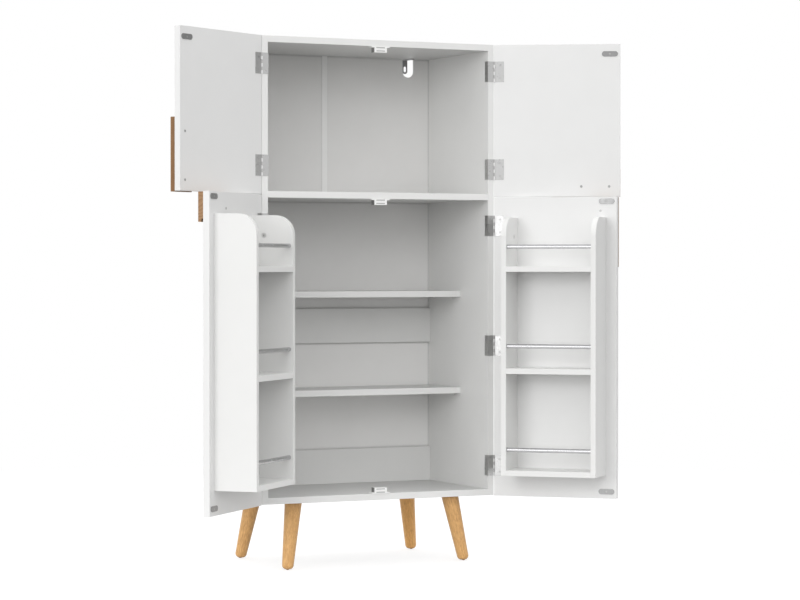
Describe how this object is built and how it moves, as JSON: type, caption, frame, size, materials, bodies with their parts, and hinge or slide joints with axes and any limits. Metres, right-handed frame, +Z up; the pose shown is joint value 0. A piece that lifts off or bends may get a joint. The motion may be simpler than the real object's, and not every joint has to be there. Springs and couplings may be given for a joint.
{
  "type": "tall kitchen cupboard",
  "caption": "Tall white kitchen cupboard on splayed wooden legs, with hinged upper and lower doors, inner shelves, door racks with chrome rails, and wooden grip blocks.",
  "frame": {"origin": "on the floor, under the middle of the case", "axes": "+Z up, the open front faces -Y, +X to the right seen from the front"},
  "size_m": [1.1401, 0.593, 1.226],
  "materials": {
    "case_board": "white melamine on particle board, satin",
    "door_board": "white melamine on particle board, satin",
    "rack_board": "white melamine on particle board, satin",
    "back_sheet": "thin white faced fibreboard, matt",
    "joint_strip": "white extruded plastic",
    "leg_wood": "turned solid wood, clear satin lacquer",
    "grip_wood": "mid brown wood, matt lacquer",
    "hinge_steel": "pressed zinc-plated steel",
    "screw_steel": "zinc-plated steel",
    "strike_steel": "plain steel",
    "bracket_steel": "dark zinc-plated steel",
    "chrome": "polished",
    "catch_plastic": "white moulded plastic",
    "pole_steel": "ground steel",
    "cover_plastic": "white self-adhesive disc",
    "dowel_wood": "beech",
    "glide_plastic": "brown moulded plastic"
  },
  "bodies": {
    "case": {"side_panel_left": "case_board", "side_panel_right": "case_board", "top_panel": "case_board", "middle_divider": "case_board", "bottom_panel": "case_board", "upper_back_left": "back_sheet", "upper_back_right": "back_sheet", "back_joint_strip": "joint_strip", "middle_back": "back_sheet", "lower_back": "back_sheet", "back_rail_upper": "case_board", "back_rail_lower": "case_board", "shelf_upper": "case_board", "shelf_lower": "case_board", "shelf_pins": "screw_steel", "catch_bodies": "catch_plastic", "catch_magnets": "pole_steel", "wall_bracket": "bracket_steel", "leg_front_left": "leg_wood", "leg_front_right": "leg_wood", "leg_back_left": "leg_wood", "leg_back_right": "leg_wood", "leg_plates": "screw_steel", "leg_bolts": "screw_steel", "leg_glides": "glide_plastic", "case_dowels": "dowel_wood", "case_screws": "screw_steel", "screw_cover_discs": "cover_plastic", "hinge_case_leaves": "hinge_steel", "hinge_pins": "hinge_steel", "case_small_screws": "screw_steel"},
    "upper_left_door": {"upper_left_door": "door_board", "upper_left_grip": "grip_wood", "upper_left_hinge_leaves": "hinge_steel", "upper_left_strike_plates": "strike_steel", "upper_left_screws": "screw_steel"},
    "upper_right_door": {"upper_right_door": "door_board", "upper_right_grip": "grip_wood", "upper_right_hinge_leaves": "hinge_steel", "upper_right_strike_plates": "strike_steel", "upper_right_screws": "screw_steel"},
    "lower_left_door": {"lower_left_door": "door_board", "lower_left_grip": "grip_wood", "lower_left_hinge_leaves": "hinge_steel", "lower_left_strike_plates": "strike_steel", "lower_left_screws": "screw_steel", "lower_left_rack_sides": "rack_board", "lower_left_rack_shelves": "rack_board", "lower_left_rack_rails": "chrome", "lower_left_rack_fixings": "screw_steel"},
    "lower_right_door": {"lower_right_door": "door_board", "lower_right_grip": "grip_wood", "lower_right_hinge_leaves": "hinge_steel", "lower_right_strike_plates": "strike_steel", "lower_right_screws": "screw_steel", "lower_right_rack_sides": "rack_board", "lower_right_rack_shelves": "rack_board", "lower_right_rack_rails": "chrome", "lower_right_rack_fixings": "screw_steel"}
  },
  "joints": [
    {"name": "upper_left_hinge", "type": "hinge", "parent": "case", "child": "upper_left_door", "pos_m": [-0.3004, -0.1668, 1.0405], "axis": [0, 0, -1], "range_deg": [-149.8, 10.2]},
    {"name": "upper_right_hinge", "type": "hinge", "parent": "case", "child": "upper_right_door", "pos_m": [0.3004, -0.1668, 1.0405], "axis": [0, 0, 1], "range_deg": [-147.5, 12.5]},
    {"name": "lower_left_hinge", "type": "hinge", "parent": "case", "child": "lower_left_door", "pos_m": [-0.3004, -0.1668, 0.51], "axis": [0, 0, -1], "range_deg": [-135.5, 24.5]},
    {"name": "lower_right_hinge", "type": "hinge", "parent": "case", "child": "lower_right_door", "pos_m": [0.3004, -0.1668, 0.51], "axis": [0, 0, 1], "range_deg": [-135.6, 24.4]}
  ]
}
